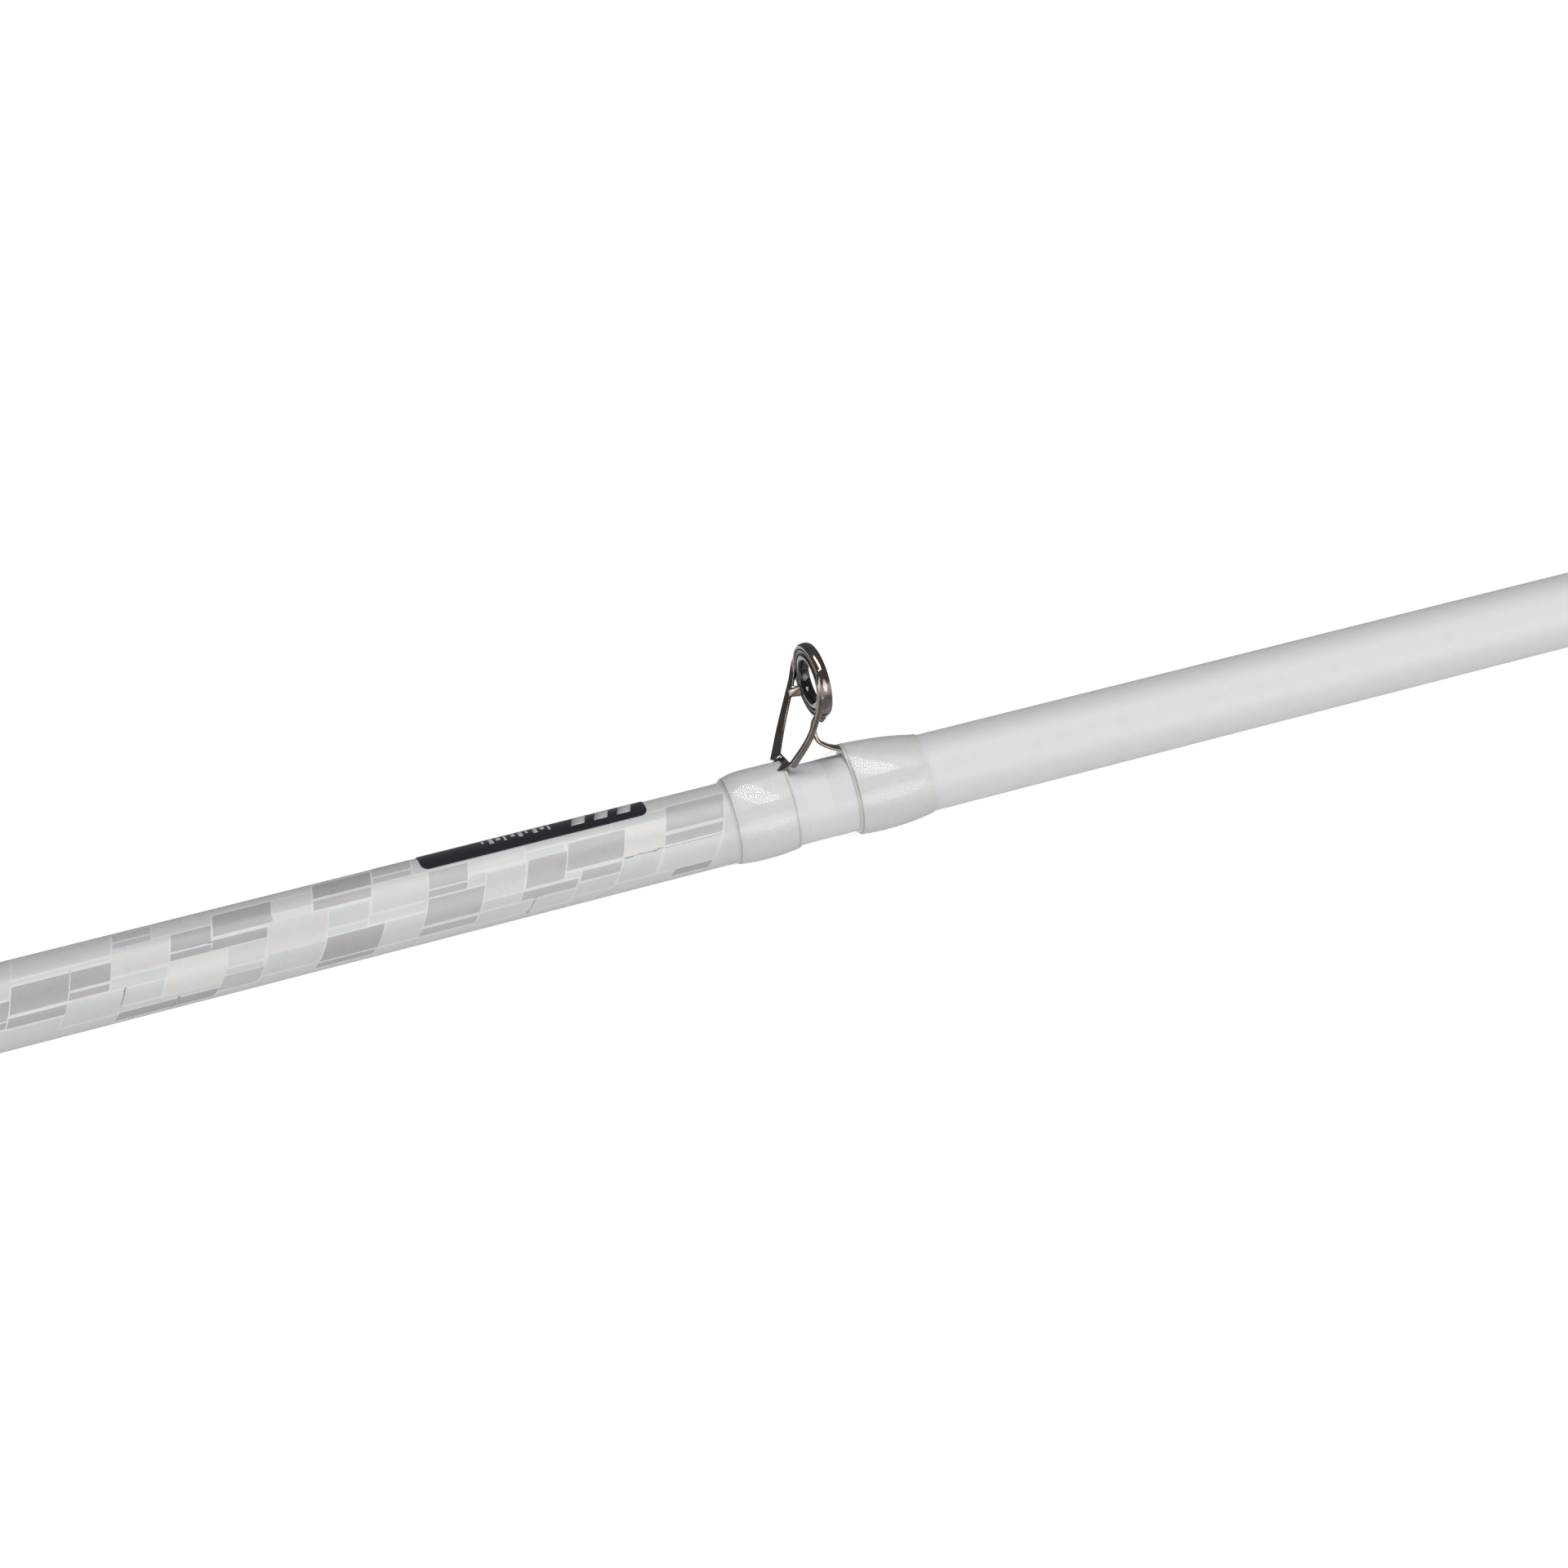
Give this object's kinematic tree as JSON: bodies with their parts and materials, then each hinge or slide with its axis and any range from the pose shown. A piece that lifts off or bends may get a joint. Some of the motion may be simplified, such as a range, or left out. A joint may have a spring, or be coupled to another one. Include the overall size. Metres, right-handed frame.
{
  "type": "two-piece casting fishing rod",
  "caption": "Tapered casting rod in two pieces with a split foam grip, trigger reel seat with screw-down hood, braced line guides, printed butt section and ferrule.",
  "frame": {"origin": "centre of the butt cap's flat end face, on the blank's axis", "axes": "+X from the butt to the tip along the blank, +Z to the side that the line guides and the reel stand on, +Y completes the right-handed frame"},
  "size_m": [1.9814, 0.028, 0.0536],
  "materials": {
    "satin_white_blank": "satin",
    "printed_film": "satin",
    "label_film": "gloss",
    "thread_and_epoxy": "gloss",
    "guide_metal": "polished",
    "ring_ceramic": "polished",
    "foam": "matt",
    "cap_rubber": "satin",
    "trim_aluminium": "satin",
    "seat_composite": "satin",
    "hood_metal": "satin",
    "arbor_foam": "matt"
  },
  "bodies": {
    "rod": {"butt_cap": "cap_rubber", "cap_ring": "trim_aluminium", "rear_grip": "foam", "rear_check": "trim_aluminium", "blank_butt": "satin_white_blank", "seat_check": "trim_aluminium", "reel_seat": "seat_composite", "seat_arbors": "arbor_foam", "fore_grip": "foam", "front_check": "trim_aluminium", "hook_keeper": "guide_metal", "keeper_wraps": "thread_and_epoxy", "graphic_sleeve": "printed_film", "label": "label_film", "ferrule_trim": "thread_and_epoxy", "guide_1_frame": "guide_metal", "guide_1_ring": "ring_ceramic", "guide_1_wraps": "thread_and_epoxy", "guide_2_frame": "guide_metal", "guide_2_ring": "ring_ceramic", "guide_2_wraps": "thread_and_epoxy"},
    "hood": {"sliding_hood": "hood_metal"},
    "nut": {"lock_nut": "hood_metal"},
    "tip_section": {"blank_tip": "satin_white_blank", "ferrule_wrap": "thread_and_epoxy", "tip_top_frame": "guide_metal", "tip_top_ring": "ring_ceramic", "tip_top_wrap": "thread_and_epoxy", "guide_3_frame": "guide_metal", "guide_3_ring": "ring_ceramic", "guide_3_wraps": "thread_and_epoxy", "guide_4_frame": "guide_metal", "guide_4_ring": "ring_ceramic", "guide_4_wraps": "thread_and_epoxy", "guide_5_frame": "guide_metal", "guide_5_ring": "ring_ceramic", "guide_5_wraps": "thread_and_epoxy", "guide_6_frame": "guide_metal", "guide_6_ring": "ring_ceramic", "guide_6_wraps": "thread_and_epoxy", "guide_7_frame": "guide_metal", "guide_7_ring": "ring_ceramic", "guide_7_wraps": "thread_and_epoxy", "guide_8_frame": "guide_metal", "guide_8_ring": "ring_ceramic", "guide_8_wraps": "thread_and_epoxy", "guide_9_frame": "guide_metal", "guide_9_ring": "ring_ceramic", "guide_9_wraps": "thread_and_epoxy"}
  },
  "joints": [
    {"name": "hood_slide", "type": "slide", "parent": "rod", "child": "hood", "axis": [-1, 0, 0], "range_m": [0, 0.0117]},
    {"name": "nut_turn", "type": "hinge", "parent": "hood", "child": "nut", "pos_m": [0.3333, 0, 0], "axis": [-1, 0, 0], "range_deg": [0, 2784]},
    {"name": "tip_section_pull", "type": "slide", "parent": "rod", "child": "tip_section", "axis": [1, 0, 0], "range_m": [0, 0.08]}
  ],
  "couplings": [
    {"joint": "hood_slide", "follows": "nut_turn", "m_per_rad": 0.00023873}
  ]
}
